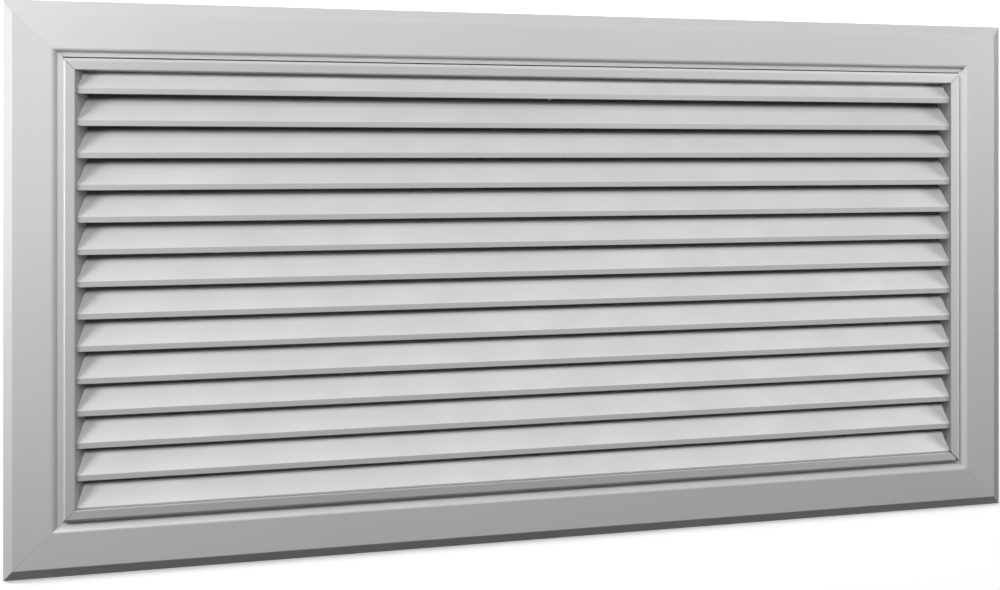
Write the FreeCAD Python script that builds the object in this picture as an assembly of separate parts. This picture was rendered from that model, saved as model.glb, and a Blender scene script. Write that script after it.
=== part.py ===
import FreeCAD, Part
import math
import os

from FreeCAD import Vector

# Louvred air grille for a wall or duct opening: a mitred frame of hollow aluminium extrusion, and inside it
# a hinged core of fourteen fixed blades. X runs to the right, Y into the wall, Z up, in millimetres.
# The origin is the middle of the opening, on the plane of the wall that the frame's back rests on.

# Frame extrusion. Widths run inwards from the outer edge, depths run back from the wall plane.
overall_width = 672.0
overall_height = 358.4
frame_wall = 1.6
edge_height = 1.6
edge_land = 2.0
bevel_width = 8.4
bevel_rise = 7.4
face_width = 22.8
step_width = 1.1
step_depth = 3.0
ledge_width = 2.7
ledge_depth = 0.8
neck_depth = 32.0
frame_mitre_gap = 0.08

# Channel behind the frame's face that holds the corner cleats.
channel_width = 15.6
channel_depth = 2.6
hook_wall = 1.2
hook_reach = 1.8
cleat_thickness = 2.3
cleat_reach = 62.0
cleat_screw_radius = 2.5
cleat_screw_length = 3.4
cleat_screw_from_corner = 48.0

# Core extrusion, a channel that is open towards the frame.
core_gap = 1.0
core_proud = 0.3
core_face_width = 7.2
core_bevel = 1.8
core_depth = 21.3
core_wall = 1.4
core_leg_length = 10.3
core_flange_inset = 0.4
core_mitre_gap = 0.2
core_open_mitre_gap = 0.5
key_width = 3.1
key_thickness = 3.2
key_reach = 26.0

# Blades.
blade_count = 14
blade_angle = 42.0
blade_sheet = 1.2
blade_recess = 2.4
blade_lip = 3.8
blade_rear_lip = 3.0
top_blade_drop = 14.8
last_blade_tuck = 2.8
tenon_start = 10.0
tenon_length = 8.0
tenon_stake = 0.8

# Support bar behind the blades, and its rivets.
support_bar_width = 12.0
support_bar_sheet = 1.5
support_bar_end_inset = 2.4
blade_rivet_radius = 1.0
rivet_head_height = 0.7
rivet_head_ratio = 1.7
rivet_tail_ratio = 1.4

# Bottom hinge: pins fixed in the core turn in bushes in the frame's neck.
hinge_above_core_edge = 16.0
hinge_behind_core_face = 6.9
pin_radius = 1.5
pin_collar_radius = 2.0
pin_collar_length = 1.2
bush_radius = 2.0
bush_flange_radius = 2.5
bush_flange = 0.6
bush_tail = 1.5

# Stop angles in the neck, with a foam seal in front of them.
stop_clearance = 2.8
stop_sheet = 1.5
stop_reach = 8.0
stop_foot = 7.0
stop_rivet_radius = 1.5
top_stop_rivet_count = 4
side_stop_rivet_count = 3
stop_above_hinge = 16.0
seal_width = 2.8

# Magnetic catches at the top.
catch_from_neck_end = 101.0
catch_body_length = 32.0
catch_plate_length = 46.0
catch_height = 4.2
catch_body_depth = 6.5
magnet_length = 24.0
magnet_height = 2.0
magnet_depth = 4.5
keeper_length = 28.0
keeper_sheet = 1.2
keeper_rivet_radius = 0.8
catch_screw_radius = 1.25

# Screw holes through the neck, for fixing into the sides of the opening.
wall_screw_radius = 2.3
wall_screw_from_back = 5.0
wall_screw_from_neck_end_x = 101.0
wall_screw_from_neck_end_z = 54.2

# Clearances.
sheet_fit = 0.1
hole_fit = 0.05
press_fit = 0.02
running_fit = 0.05
soft_gap = 0.3

# Edge radii.
bevel_radius = 0.8
face_inner_radius = 2.2
edge_radius = 0.3
core_edge_radius = 0.45
blade_bend_radius = 0.9

# Places worked out from the sizes above.
face_y = -(edge_height + bevel_rise)
face_back_y = face_y + frame_wall
face_inner_w = bevel_width + face_width
neck_w = face_inner_w + step_width + ledge_width
neck_half_width = overall_width / 2 - neck_w
neck_half_height = overall_height / 2 - neck_w
channel_start = bevel_width + (face_width - channel_width) / 2
channel_end = channel_start + channel_width

core_width = 2 * (neck_half_width - core_gap)
core_height = 2 * (neck_half_height - core_gap)
core_front_y = face_y - core_proud
core_back_y = core_front_y + core_depth
opening_width = core_width - 2 * core_face_width
opening_height = core_height - 2 * core_face_width

blade_front_y = core_front_y + blade_recess
blade_rear_y = core_back_y - blade_sheet
blade_slope = math.radians(blade_angle)
blade_rise = (blade_rear_y - blade_front_y) * math.tan(blade_slope)
first_blade_z = opening_height / 2 - top_blade_drop
blade_pitch = (opening_height - top_blade_drop + last_blade_tuck) / (blade_count - 1)

hinge_y = core_front_y + hinge_behind_core_face
hinge_z = -core_height / 2 + hinge_above_core_edge
stop_y = core_back_y + stop_clearance

SIDES = ("top", "right", "bottom", "left")
CORNERS = {
    "top_left": (-1, 1),
    "top_right": (1, 1),
    "bottom_right": (1, -1),
    "bottom_left": (-1, -1),
}


def crossing(first, second):
    """Where two lines in a plane meet. Each line is a pair of points."""
    (ax, ay), (bx, by) = first
    (cx, cy), (dx, dy) = second
    across = (bx - ax) * (dy - cy) - (by - ay) * (dx - cx)
    share = ((cx - ax) * (dy - cy) - (cy - ay) * (dx - cx)) / across
    return ax + share * (bx - ax), ay + share * (by - ay)


def offset_path(points, distance):
    """A path moved to its left by a distance, with its corners kept sharp."""
    lines = []
    for (ax, ay), (bx, by) in zip(points, points[1:]):
        length = math.hypot(bx - ax, by - ay)
        move_x = -(by - ay) / length * distance
        move_y = (bx - ax) / length * distance
        lines.append(((ax + move_x, ay + move_y), (bx + move_x, by + move_y)))
    corners = [crossing(first, second) for first, second in zip(lines, lines[1:])]
    return [lines[0][0]] + corners + [lines[-1][1]]


def height_on(line, place):
    """The second coordinate of a line where its first coordinate is place."""
    (ax, ay), (bx, by) = line
    return ay + (by - ay) * (place - ax) / (bx - ax)


def bar(section, low, high):
    """A straight bar along X from low to high, whose section is a list of (y, z) corners."""
    corners = [Vector(low, y, z) for y, z in section]
    outline = Part.makePolygon(corners + corners[:1])
    return Part.Face(outline).extrude(Vector(high - low, 0, 0))


def box(x_range, y_range, z_range):
    """A box between pairs of limits."""
    (x0, x1), (y0, y1), (z0, z1) = x_range, y_range, z_range
    return Part.makeBox(x1 - x0, y1 - y0, z1 - z0, Vector(x0, y0, z0))


def rod(radius, start, along, length):
    """A round rod from a start point along a direction."""
    return Part.makeCylinder(radius, length, Vector(*start), Vector(*along))


def joined(shapes):
    """One solid from shapes that touch or overlap."""
    return shapes[0].fuse(shapes[1:]).removeSplitter()


def soften(shape, corners):
    """Rounds the edges along X that stand at the given (y, z, radius) corners."""
    for y, z, radius in corners:
        edges = [
            edge
            for edge in shape.Edges
            if all(abs(v.Y - y) < 1e-4 and abs(v.Z - z) < 1e-4 for v in edge.Vertexes)
        ]
        shape = shape.makeFillet(radius, edges)
    return shape


def inwards(section):
    """Turns (width, depth) corners of the top side, where width runs down from z = 0, into (y, z) corners."""
    return [(depth, -width) for width, depth in section]


def on_side(shape, side, width, height):
    """Turns a shape made for the top side, with its outer edge at z = 0, to a side of a rectangle."""
    angle, x, z = {
        "top": (0, 0, height / 2),
        "right": (90, width / 2, 0),
        "bottom": (180, 0, -height / 2),
        "left": (270, -width / 2, 0),
    }[side]
    shape.rotate(Vector(0, 0, 0), Vector(0, 1, 0), angle)
    shape.translate(Vector(x, 0, z))
    return shape


def mitred(shape, side, width, height, depth, first_gap, last_gap):
    """Cuts a top bar's ends to 45 degrees, clear of the next bars by the gaps, and turns it to its side."""
    half = (width if side in ("top", "bottom") else height) / 2
    first = -half + first_gap / math.sqrt(2)
    last = half - last_gap / math.sqrt(2)
    reach = neck_depth + core_depth
    outline = [
        Vector(first, -reach, 0),
        Vector(last, -reach, 0),
        Vector(last - depth, -reach, -depth),
        Vector(first + depth, -reach, -depth),
    ]
    wedge = Part.Face(Part.makePolygon(outline + outline[:1])).extrude(Vector(0, 2 * reach, 0))
    return on_side(shape.common(wedge), side, width, height)


def strip(section, side, low, high):
    """A square-ended bar in the frame, on one side, from low to high along X or Z."""
    if side in ("right", "bottom"):
        low, high = -high, -low
    return on_side(bar(inwards(section), low, high), side, overall_width, overall_height)


def side_point(side, width, depth, along):
    """The point at a width in from the frame's outer edge, a depth, and a place along X or Z."""
    return {
        "top": (along, depth, overall_height / 2 - width),
        "right": (overall_width / 2 - width, depth, along),
        "bottom": (along, depth, -overall_height / 2 + width),
        "left": (-overall_width / 2 + width, depth, along),
    }[side]


def outward(side):
    """The direction from the opening's middle towards a side."""
    return {"top": (0, 0, 1), "right": (1, 0, 0), "bottom": (0, 0, -1), "left": (-1, 0, 0)}[side]


def corner_plate(corner, half_width, half_height, inner, outer, reach, y_range):
    """An L-shaped plate in a corner. Its arms lie between inner and outer, measured from the outer edges."""
    sign_x, sign_z = CORNERS[corner]
    outline = [
        (inner, inner),
        (reach, inner),
        (reach, outer),
        (outer, outer),
        (outer, reach),
        (inner, reach),
    ]
    points = [
        Vector(sign_x * (half_width - u), y_range[0], sign_z * (half_height - v))
        for u, v in outline
    ]
    face = Part.Face(Part.makePolygon(points + points[:1]))
    return face.extrude(Vector(0, y_range[1] - y_range[0], 0))


def rivet(radius, start, along, grip, tail_height):
    """A rivet with its head behind the start point and its shank and tail along the direction."""
    head_radius = rivet_head_ratio * radius
    direction = Vector(*along)
    head_start = Vector(*start) - direction * rivet_head_height
    head = Part.makeCylinder(head_radius, rivet_head_height, head_start, direction)
    rim = [
        edge
        for edge in head.Edges
        if len(edge.Vertexes) == 1 and (edge.CenterOfMass - head_start).Length < 1e-4
    ]
    pieces = [
        head.makeFillet(0.7 * rivet_head_height, rim),
        rod(radius, start, along, grip + tail_height),
    ]
    if tail_height:
        tail_start = Vector(*start) + direction * grip
        tail_radius = rivet_tail_ratio * radius
        pieces.append(Part.makeCylinder(tail_radius, tail_height, tail_start, direction))
    return joined(pieces)


def spread(count, low, high):
    """Evenly spaced places, half a space in from each end."""
    space = (high - low) / count
    return [low + space * (i + 0.5) for i in range(count)]


# --- outer frame -------------------------------------------------------------------------------------

# The visible skin of the extrusion: edge, bevel, face, step, ledge, neck.
skin = [
    (0, -edge_height),
    (bevel_width, face_y),
    (face_inner_w, face_y),
    (face_inner_w + step_width, face_y + step_depth),
    (neck_w, face_y + step_depth + ledge_depth),
    (neck_w, neck_depth),
]
skin_back = offset_path(skin, frame_wall)
frame_section = (
    [(0, 0)]
    + skin
    + skin_back[:0:-1]
    + [(edge_land, height_on(skin_back[:2], edge_land)), (edge_land, 0)]
)


def cleat_hook(wall_w, towards):
    """One side of the cleat channel: a rib with a lip, towards is +1 or -1."""
    tip_y = face_back_y + channel_depth
    return [
        (wall_w, face_back_y),
        (wall_w, tip_y),
        (wall_w + towards * hook_reach, tip_y),
        (wall_w + towards * hook_reach, tip_y + hook_wall),
        (wall_w - towards * hook_wall, tip_y + hook_wall),
        (wall_w - towards * hook_wall, face_back_y),
    ]


def stop_span(side):
    """Where the stop angle of a side starts and ends along its side."""
    if side == "top":
        return -neck_half_width + sheet_fit, neck_half_width - sheet_fit
    return hinge_z + stop_above_hinge, neck_half_height - stop_reach - sheet_fit


STOP_RIVETS = {
    "top": top_stop_rivet_count,
    "left": side_stop_rivet_count,
    "right": side_stop_rivet_count,
}
stop_rivet_y = stop_y + stop_sheet + (stop_foot - stop_sheet) / 2
wall_screw_y = neck_depth - wall_screw_from_back


def neck_holes(side):
    """The holes through one side of the neck: wall screws, stop angle rivets, hinge bushes."""
    holes = []
    if side in ("top", "bottom"):
        screw_place = neck_half_width - wall_screw_from_neck_end_x
    else:
        screw_place = neck_half_height - wall_screw_from_neck_end_z
    for along in (-screw_place, screw_place):
        holes.append((wall_screw_radius, wall_screw_y, along))
    if side in STOP_RIVETS:
        for along in spread(STOP_RIVETS[side], *stop_span(side)):
            holes.append((stop_rivet_radius + hole_fit, stop_rivet_y, along))
    if side in ("left", "right"):
        holes.append((bush_radius + press_fit, hinge_y, hinge_z))
    start_w = neck_w + frame_wall
    return [
        rod(radius, side_point(side, start_w, y, along), outward(side), 3 * frame_wall)
        for radius, y, along in holes
    ]


def frame_member(side):
    """One mitred length of the frame extrusion."""
    length = overall_width if side in ("top", "bottom") else overall_height
    sections = [
        frame_section,
        cleat_hook(channel_start, 1),
        cleat_hook(channel_end, -1),
    ]
    solid = joined([bar(inwards(s), -length / 2, length / 2) for s in sections])
    rounded = soften(
        solid,
        [
            (-edge_height, 0, edge_radius),
            (face_y, -bevel_width, bevel_radius),
            (face_y, -face_inner_w, face_inner_radius),
        ],
    )
    gap = frame_mitre_gap
    member = mitred(rounded, side, overall_width, overall_height, neck_w + frame_wall, gap, gap)
    return member.cut(neck_holes(side))


def frame_cleat(corner):
    """A flat corner cleat in the channels of two members, drilled for its set screws."""
    y_range = (face_back_y + sheet_fit, face_back_y + sheet_fit + cleat_thickness)
    plate = corner_plate(
        corner,
        overall_width / 2,
        overall_height / 2,
        channel_start + sheet_fit,
        channel_end - sheet_fit,
        cleat_reach,
        y_range,
    )
    holes = [
        rod(cleat_screw_radius + press_fit, point, (0, 1, 0), 2 * cleat_thickness)
        for point in cleat_screw_points(corner)
    ]
    return plate.cut(holes)


def cleat_screw_points(corner):
    """Where a cleat's two set screws stand on the back of the face."""
    sign_x, sign_z = CORNERS[corner]
    middle = (channel_start + channel_end) / 2
    places = [(cleat_screw_from_corner, middle), (middle, cleat_screw_from_corner)]
    return [
        (sign_x * (overall_width / 2 - u), face_back_y, sign_z * (overall_height / 2 - v))
        for u, v in places
    ]


def cleat_screws():
    """The set screws of all four cleats, with a hexagon socket in each."""
    screws = []
    socket_radius = cleat_screw_radius / 2
    for corner in CORNERS:
        for x, y, z in cleat_screw_points(corner):
            body = rod(cleat_screw_radius, (x, y, z), (0, 1, 0), cleat_screw_length)
            end_y = y + cleat_screw_length
            sides = [
                Vector(
                    x + socket_radius * math.cos(math.radians(60 * i)),
                    end_y,
                    z + socket_radius * math.sin(math.radians(60 * i)),
                )
                for i in range(6)
            ]
            socket = Part.Face(Part.makePolygon(sides + sides[:1]))
            screws.append(body.cut(socket.extrude(Vector(0, -cleat_screw_length / 2, 0))))
    return Part.makeCompound(screws)


def wall_gasket(side):
    """A foam strip that fills the hollow behind the bevel and seals on the wall."""
    inside = offset_path(skin, frame_wall + sheet_fit)
    start_w = edge_land + sheet_fit
    end_w = channel_start - hook_wall - sheet_fit
    section = [
        (start_w, 0),
        (start_w, height_on(inside[:2], start_w)),
        inside[1],
        (end_w, inside[1][1]),
        (end_w, 0),
    ]
    length = overall_width if side in ("top", "bottom") else overall_height
    strip_bar = bar(inwards(section), -length / 2, length / 2)
    gap = sheet_fit
    return mitred(strip_bar, side, overall_width, overall_height, neck_w, gap, gap)


# --- stop angles, seals and bushes in the neck --------------------------------------------------------


def catch_places():
    """Where the two catches stand along the top."""
    place = neck_half_width - catch_from_neck_end
    return -place, place


catch_top_z = neck_half_height - seal_width - 7 * sheet_fit
catch_bottom_z = catch_top_z - catch_height
catch_middle_z = (catch_top_z + catch_bottom_z) / 2
catch_front_y = core_back_y + keeper_sheet + soft_gap
catch_screw_offset = (catch_body_length + catch_plate_length) / 4


def stop_angle(side):
    """An L-shaped angle riveted inside the neck, which the closed core stops against."""
    section = [
        (neck_w, stop_y),
        (neck_w + stop_reach, stop_y),
        (neck_w + stop_reach, stop_y + stop_sheet),
        (neck_w + stop_sheet, stop_y + stop_sheet),
        (neck_w + stop_sheet, stop_y + stop_foot),
        (neck_w, stop_y + stop_foot),
    ]
    low, high = stop_span(side)
    angle = strip(section, side, low, high)
    cuts = [
        rod(
            stop_rivet_radius + hole_fit,
            side_point(side, neck_w + 2 * stop_sheet, stop_rivet_y, along),
            outward(side),
            3 * stop_sheet,
        )
        for along in spread(STOP_RIVETS[side], low, high)
    ]
    if side == "top":
        for x in catch_places():
            half = catch_body_length / 2 + sheet_fit
            z_range = (neck_half_height - stop_reach - sheet_fit, catch_top_z + sheet_fit)
            cuts.append(box((x - half, x + half), (stop_y - 1, stop_y + 2 * stop_sheet), z_range))
            for screw_x in (x - catch_screw_offset, x + catch_screw_offset):
                start = (screw_x, stop_y - stop_sheet, catch_middle_z)
                cuts.append(rod(catch_screw_radius + hole_fit, start, (0, 1, 0), 3 * stop_sheet))
    return angle.cut(cuts)


def stop_angle_rivets():
    """The rivets that hold the three stop angles to the neck."""
    rivets = []
    grip = stop_sheet + frame_wall
    for side, count in STOP_RIVETS.items():
        for along in spread(count, *stop_span(side)):
            start = side_point(side, neck_w + stop_sheet, stop_rivet_y, along)
            rivets.append(rivet(stop_rivet_radius, start, outward(side), grip, rivet_head_height))
    return Part.makeCompound(rivets)


def stop_seal(side):
    """A foam strip on the front of a stop angle, which the core presses on."""
    start_w = neck_w + 2 * sheet_fit
    section = [
        (start_w, core_back_y + soft_gap),
        (start_w + seal_width, core_back_y + soft_gap),
        (start_w + seal_width, stop_y),
        (start_w, stop_y),
    ]
    low, high = stop_span(side)
    if side != "top":
        high = neck_half_height - seal_width - 4 * sheet_fit
    return strip(section, side, low, high)


def hinge_bush(side):
    """A flanged nylon bush pressed into the neck."""
    start = side_point(side, neck_w + bush_flange, hinge_y, hinge_z)
    seat = side_point(side, neck_w, hinge_y, hinge_z)
    body = rod(bush_radius, seat, outward(side), frame_wall + bush_tail)
    flange = rod(bush_flange_radius, start, outward(side), bush_flange)
    bore_length = bush_flange + frame_wall + bush_tail
    bore = rod(pin_radius + running_fit, start, outward(side), bore_length)
    return joined([flange, body]).cut(bore)


# --- magnetic catches ---------------------------------------------------------------------------------


def magnet_box(x):
    """The space of the magnet in its housing."""
    half = magnet_length / 2
    y_range = (catch_front_y, catch_front_y + magnet_depth)
    z_range = (catch_middle_z - magnet_height / 2, catch_middle_z + magnet_height / 2)
    return box((x - half, x + half), y_range, z_range)


def catch_housing(x):
    """The plastic housing of a catch: a body through the stop angle and a plate behind it."""
    z_range = (catch_bottom_z, catch_top_z)
    body_half = catch_body_length / 2
    plate_half = catch_plate_length / 2
    plate_y = stop_y + stop_sheet
    body = box(
        (x - body_half, x + body_half), (catch_front_y, catch_front_y + catch_body_depth), z_range
    )
    plate = box((x - plate_half, x + plate_half), (plate_y, plate_y + stop_sheet), z_range)
    cuts = [magnet_box(x)]
    for screw_x in (x - catch_screw_offset, x + catch_screw_offset):
        start = (screw_x, stop_y, catch_middle_z)
        cuts.append(rod(catch_screw_radius + hole_fit, start, (0, 1, 0), 4 * stop_sheet))
    return joined([body, plate]).cut(cuts)


def catch_screws():
    """The screws that hold the two housings to the top stop angle."""
    screws = []
    for x in catch_places():
        for screw_x in (x - catch_screw_offset, x + catch_screw_offset):
            start = (screw_x, stop_y + 2 * stop_sheet, catch_middle_z)
            grip = 2 * stop_sheet
            screws.append(rivet(catch_screw_radius * 0.8, start, (0, -1, 0), grip, 0))
    return Part.makeCompound(screws)


def keeper(x):
    """A steel keeper plate on the back of the core's top rail."""
    half = keeper_length / 2
    y_range = (core_back_y, core_back_y + keeper_sheet)
    plate = box((x - half, x + half), y_range, (catch_bottom_z, catch_top_z))
    return plate.cut(keeper_rivet_holes(x))


def keeper_rivet_places(x):
    """Where a keeper's two rivets stand."""
    offset = keeper_length / 2 - 4 * keeper_rivet_radius
    return x - offset, x + offset


def beside_web(radius):
    """The height of a round head or tail in the top rail's channel, just clear of the rail's web."""
    return opening_height / 2 + core_wall + radius + 2 * sheet_fit


keeper_rivet_z = beside_web(rivet_head_ratio * keeper_rivet_radius)


def keeper_rivet_holes(x):
    """Holes for a keeper's rivets through the keeper and the core's rear flange."""
    return [
        rod(
            keeper_rivet_radius + hole_fit,
            (place, core_back_y - 2 * core_wall, keeper_rivet_z),
            (0, 1, 0),
            2 * core_wall + 2 * keeper_sheet,
        )
        for place in keeper_rivet_places(x)
    ]


def keeper_rivets():
    """The rivets of both keepers, flush with the keepers' backs."""
    rivets = []
    for x in catch_places():
        for place in keeper_rivet_places(x):
            start = (place, core_back_y - core_wall, keeper_rivet_z)
            grip = core_wall + keeper_sheet
            rivets.append(rivet(keeper_rivet_radius, start, (0, 1, 0), grip, 0))
    return Part.makeCompound(rivets)


# --- core: frame, blades, support bar, hinge pins -------------------------------------------------------

core_skin = [
    (0, core_front_y + core_leg_length),
    (0, core_front_y + core_bevel),
    (core_bevel, core_front_y),
    (core_face_width, core_front_y),
    (core_face_width, core_back_y),
    (core_flange_inset, core_back_y),
]
core_section = core_skin + offset_path(core_skin, core_wall)[::-1]


def blade_bottom_z(number):
    """The height of a blade's lower edge. Blades are counted from the top."""
    return first_blade_z - blade_pitch * (number - 1)


def blade_section(number):
    """A folded blade: front lip, slope and rear lip."""
    low = blade_bottom_z(number)
    front = [
        (blade_front_y, low),
        (blade_front_y, low + blade_lip),
        (blade_rear_y, low + blade_lip + blade_rise),
        (blade_rear_y, low + blade_lip + blade_rise + blade_rear_lip),
    ]
    return front + offset_path(front, -blade_sheet)[::-1]


def tenon_section(number, grow):
    """The part of a blade's slope that passes through the stiles, larger all round by grow."""
    along = (math.cos(blade_slope), math.sin(blade_slope))
    under = (math.sin(blade_slope), -math.cos(blade_slope))
    start = (blade_front_y, blade_bottom_z(number) + blade_lip)
    corners = []
    for distance, depth in (
        (tenon_start - grow, -grow),
        (tenon_start + tenon_length + grow, -grow),
        (tenon_start + tenon_length + grow, blade_sheet + grow),
        (tenon_start - grow, blade_sheet + grow),
    ):
        corners.append(
            tuple(start[i] + along[i] * distance + under[i] * depth for i in range(2))
        )
    return corners


def between_rails(margin):
    """The room between the top and bottom rails of the core, less a margin at each."""
    half = core_width / 2
    reach = core_depth + core_height
    z = opening_height / 2 - margin
    return box((-half, half), (-reach, reach), (-z, z))


def has_rear_lip(number):
    """Whether a blade's rear lip clears the top rail and so takes a rivet."""
    top = blade_bottom_z(number) + blade_lip + blade_rise + blade_rear_lip
    return top < opening_height / 2


def blade_rivet_z(number):
    """The height of the rivet through a blade's rear lip."""
    return blade_bottom_z(number) + blade_lip + blade_rise + blade_rear_lip * 0.55


def blade_rivet_hole(z, start_y):
    """A rivet hole from the front of a sheet through the support bar."""
    length = core_back_y - start_y + 2 * support_bar_sheet
    return rod(blade_rivet_radius + hole_fit, (0, start_y, z), (0, 1, 0), length)


def blade(number):
    """One folded blade with its end tenons, cut down where it meets a rail."""
    low = blade_bottom_z(number)
    half = opening_width / 2 - sheet_fit
    tenon_half = opening_width / 2 + core_wall + tenon_stake
    sheet = soften(
        bar(blade_section(number), -half, half),
        [
            (blade_front_y, low, edge_radius),
            (blade_front_y, low + blade_lip, blade_bend_radius),
        ],
    )
    tenons = bar(tenon_section(number, 0), -tenon_half, tenon_half)
    solid = joined([sheet, tenons]).common(between_rails(sheet_fit))
    if has_rear_lip(number):
        hole = blade_rivet_hole(blade_rivet_z(number), blade_rear_y - blade_sheet)
        solid = solid.cut(hole)
    return solid


def core_rivet_z():
    """Heights of the support bar's end rivets, in the rear flanges of the rails."""
    z = beside_web(rivet_tail_ratio * blade_rivet_radius)
    return z, -z


def core_member(side):
    """One mitred length of the core extrusion, slotted or drilled for what it holds."""
    length = core_width if side in ("top", "bottom") else core_height
    rounded = soften(
        bar(inwards(core_section), -length / 2, length / 2),
        [
            (core_front_y, -core_bevel, core_edge_radius),
            (core_front_y, -core_face_width, core_edge_radius),
        ],
    )
    first = core_open_mitre_gap if side == "bottom" else core_mitre_gap
    last = core_open_mitre_gap if side == "right" else core_mitre_gap
    member = mitred(rounded, side, core_width, core_height, 2 * core_face_width, first, last)
    if side in ("left", "right"):
        half = core_width / 2 - core_face_width + core_wall + tenon_stake
        slots = [
            bar(tenon_section(number, sheet_fit), -half, half).common(between_rails(0))
            for number in range(1, blade_count + 1)
        ]
        x, y, z = (-core_width / 2, hinge_y, hinge_z)
        pin_hole = rod(pin_radius + press_fit, (x, y, z), (1, 0, 0), core_width)
        return member.cut(slots + [pin_hole])
    holes = [blade_rivet_hole(z, core_back_y - 2 * core_wall) for z in core_rivet_z()]
    if side == "top":
        for x in catch_places():
            holes += keeper_rivet_holes(x)
    return member.cut(holes)


def core_key(corner):
    """A corner key in the front channels of two core members."""
    inner_w = core_face_width - core_wall - sheet_fit
    y_start = core_front_y + core_wall + sheet_fit
    return corner_plate(
        corner,
        core_width / 2,
        core_height / 2,
        inner_w - key_width,
        inner_w,
        key_reach,
        (y_start, y_start + key_thickness),
    )


def support_bar():
    """A flat bar down the back of the blades at mid-length."""
    half = support_bar_width / 2
    top = core_height / 2 - support_bar_end_inset
    y_range = (core_back_y, core_back_y + support_bar_sheet)
    flat = box((-half, half), y_range, (-top, top))
    return flat.cut([blade_rivet_hole(z, blade_rear_y) for z in support_rivet_z()])


def support_rivet_z():
    """Heights of all rivets in the support bar."""
    numbers = [n for n in range(1, blade_count + 1) if has_rear_lip(n)]
    return [blade_rivet_z(n) for n in numbers] + list(core_rivet_z())


def support_bar_rivets():
    """The rivets of the support bar, with their heads behind it."""
    rivets = []
    for z in support_rivet_z():
        sheet = core_wall if z in core_rivet_z() else blade_sheet
        start = (0, core_back_y + support_bar_sheet, z)
        grip = support_bar_sheet + sheet
        rivets.append(rivet(blade_rivet_radius, start, (0, -1, 0), grip, rivet_head_height / 2))
    return Part.makeCompound(rivets)


def hinge_pin(side):
    """A steel pin fixed in both walls of a core stile, with a collar behind the outer wall."""
    core_w = neck_w + core_gap
    inner_w = core_w + core_face_width - 2 * sheet_fit
    outer_w = neck_w - frame_wall - bush_tail + 5 * sheet_fit
    start = side_point(side, inner_w, hinge_y, hinge_z)
    shaft = rod(pin_radius, start, outward(side), inner_w - outer_w)
    collar_w = core_w + core_wall + sheet_fit + pin_collar_length
    collar_start = side_point(side, collar_w, hinge_y, hinge_z)
    collar = rod(pin_collar_radius, collar_start, outward(side), pin_collar_length)
    return joined([shaft, collar])


# --- nodes --------------------------------------------------------------------------------------------

MEMBER_NAMES = {
    "top": "top_rail",
    "right": "right_stile",
    "bottom": "bottom_rail",
    "left": "left_stile",
}

nodes = {}
for side in SIDES:
    nodes["frame_" + MEMBER_NAMES[side]] = frame_member(side)
    nodes["core_" + MEMBER_NAMES[side]] = core_member(side)
    nodes["wall_gasket_" + side] = wall_gasket(side)
for corner in CORNERS:
    nodes["frame_cleat_" + corner] = frame_cleat(corner)
    nodes["core_key_" + corner] = core_key(corner)
nodes["frame_cleat_screws"] = cleat_screws()
for side in STOP_RIVETS:
    nodes["stop_angle_" + side] = stop_angle(side)
    nodes["stop_seal_" + side] = stop_seal(side)
nodes["stop_angle_rivets"] = stop_angle_rivets()
for side in ("left", "right"):
    nodes["hinge_bush_" + side] = hinge_bush(side)
    nodes["hinge_pin_" + side] = hinge_pin(side)
for side, place in zip(("left", "right"), catch_places()):
    nodes["catch_housing_" + side] = catch_housing(place)
    nodes["catch_magnet_" + side] = magnet_box(place)
    nodes["catch_keeper_" + side] = keeper(place)
nodes["catch_screws"] = catch_screws()
nodes["catch_keeper_rivets"] = keeper_rivets()
for number in range(1, blade_count + 1):
    nodes[f"blade_{number:02d}"] = blade(number)
nodes["blade_support_bar"] = support_bar()
nodes["support_bar_rivets"] = support_bar_rivets()

os.makedirs("parts", exist_ok=True)
for name, shape in nodes.items():
    shape.exportStep(f"parts/{name}.step")
    print(f"{name}: {len(shape.Solids)} solid(s), {shape.Volume:.1f} mm3, valid {shape.isValid()}")
print(f"{len(nodes)} nodes, blade pitch {blade_pitch:.3f}")
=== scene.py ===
import math

import bmesh
import bpy
from mathutils import Matrix, Vector


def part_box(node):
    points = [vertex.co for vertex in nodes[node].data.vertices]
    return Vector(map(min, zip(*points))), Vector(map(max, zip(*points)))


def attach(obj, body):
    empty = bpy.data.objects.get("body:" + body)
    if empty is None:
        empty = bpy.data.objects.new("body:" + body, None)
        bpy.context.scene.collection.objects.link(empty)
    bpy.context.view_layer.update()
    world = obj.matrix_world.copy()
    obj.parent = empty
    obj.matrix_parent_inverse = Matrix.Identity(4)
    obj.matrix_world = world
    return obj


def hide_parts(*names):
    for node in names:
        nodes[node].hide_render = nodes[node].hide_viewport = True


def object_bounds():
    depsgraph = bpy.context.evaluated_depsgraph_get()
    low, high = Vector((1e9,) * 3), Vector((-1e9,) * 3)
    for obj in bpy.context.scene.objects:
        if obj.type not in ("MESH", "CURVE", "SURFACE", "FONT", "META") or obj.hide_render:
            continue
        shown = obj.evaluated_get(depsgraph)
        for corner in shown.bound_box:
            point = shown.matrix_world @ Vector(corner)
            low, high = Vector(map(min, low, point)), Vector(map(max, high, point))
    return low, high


# Louvred air grille for a wall or duct opening, in the order in which it is put together.
# X runs to the right, Y into the wall, Z up, in metres. The wall stands on the plane Y = 0.
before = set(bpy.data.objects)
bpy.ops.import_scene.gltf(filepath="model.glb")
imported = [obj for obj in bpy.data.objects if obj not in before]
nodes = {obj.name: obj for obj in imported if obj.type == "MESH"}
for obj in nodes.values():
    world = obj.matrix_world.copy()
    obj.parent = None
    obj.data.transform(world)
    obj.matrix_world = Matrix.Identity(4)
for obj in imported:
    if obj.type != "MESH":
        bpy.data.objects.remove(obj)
cad_low, cad_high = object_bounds()


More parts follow.
